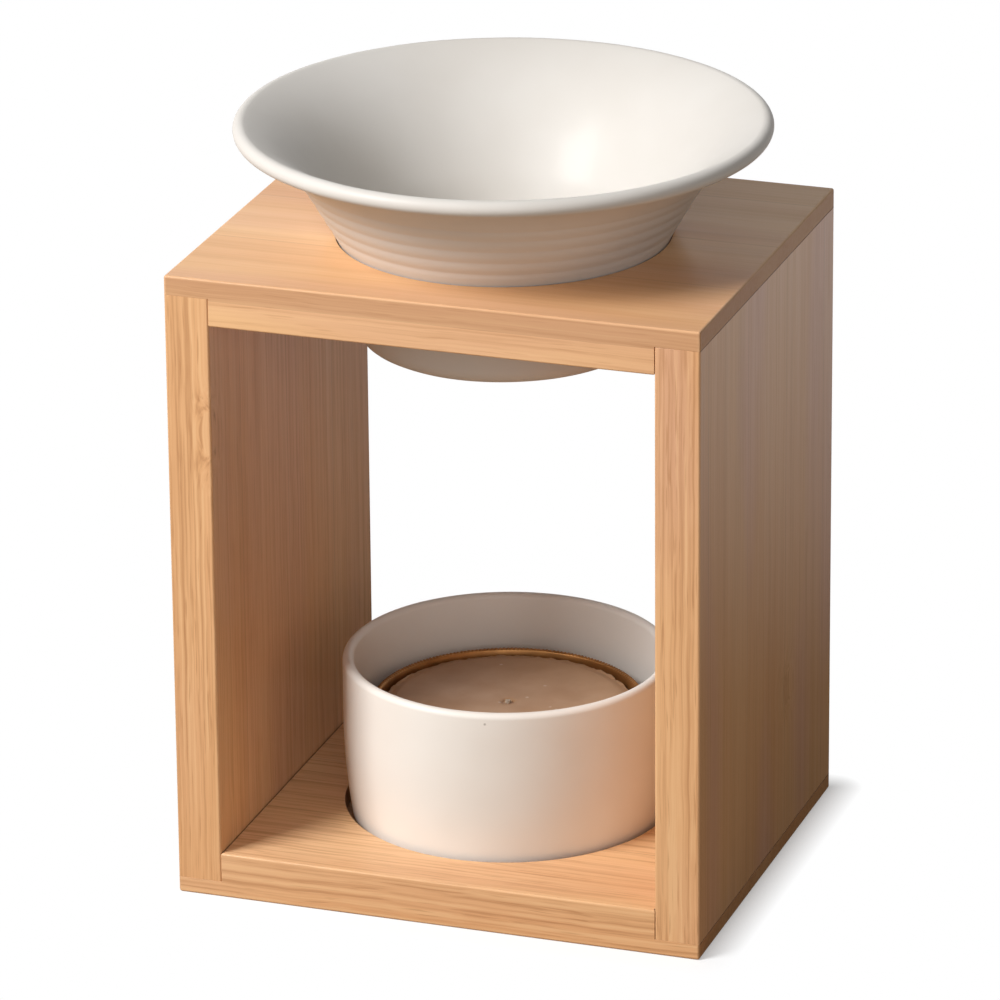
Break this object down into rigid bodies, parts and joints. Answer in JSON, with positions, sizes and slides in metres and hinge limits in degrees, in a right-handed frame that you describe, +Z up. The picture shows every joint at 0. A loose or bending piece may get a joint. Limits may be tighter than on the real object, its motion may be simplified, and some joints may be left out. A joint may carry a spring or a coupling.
{
  "type": "essential oil burner",
  "caption": "Essential oil burner: a bamboo frame open at front and back, a flared glazed dish hanging in its top board, and a glazed cup in its base board that holds a tealight.",
  "frame": {"origin": "centre of the frame's footprint on the surface it stands on", "axes": "+Z up, +X to the viewer's right, -Y towards the front seen in the picture"},
  "size_m": [0.08, 0.078, 0.1132],
  "materials": {
    "bamboo": "laminated bamboo, sanded and clear lacquered to a satin sheen, eased edges",
    "dish_glaze": "warm off-white gloss glaze over shallow throwing rings",
    "cup_glaze": "warm off-white gloss glaze with a few tiny dark specks",
    "tealight_foil": "thin gold-lacquered aluminium with a rolled rim",
    "wax": "soft brown-grey wax, slightly ragged at its edge",
    "sustainer_metal": "thin tinned steel",
    "wick_cotton": "waxed cotton cord"
  },
  "bodies": {
    "frame": {"top_board": "bamboo", "bottom_board": "bamboo", "side_board_left": "bamboo", "side_board_right": "bamboo"},
    "dish": {"oil_dish": "dish_glaze"},
    "cup": {"candle_cup": "cup_glaze"},
    "tealight": {"tealight_cup": "tealight_foil", "tealight_wax": "wax", "wick_sustainer": "sustainer_metal", "wick": "wick_cotton"}
  },
  "joints": [
    {"name": "dish_lift", "type": "slide", "parent": "frame", "child": "dish", "axis": [0, 0, 1], "range_m": [0, 0.05]},
    {"name": "cup_lift", "type": "slide", "parent": "frame", "child": "cup", "axis": [0, 0, 1], "range_m": [0, 0.02]},
    {"name": "tealight_lift", "type": "slide", "parent": "cup", "child": "tealight", "axis": [0, 0, 1], "range_m": [0, 0.025]}
  ]
}
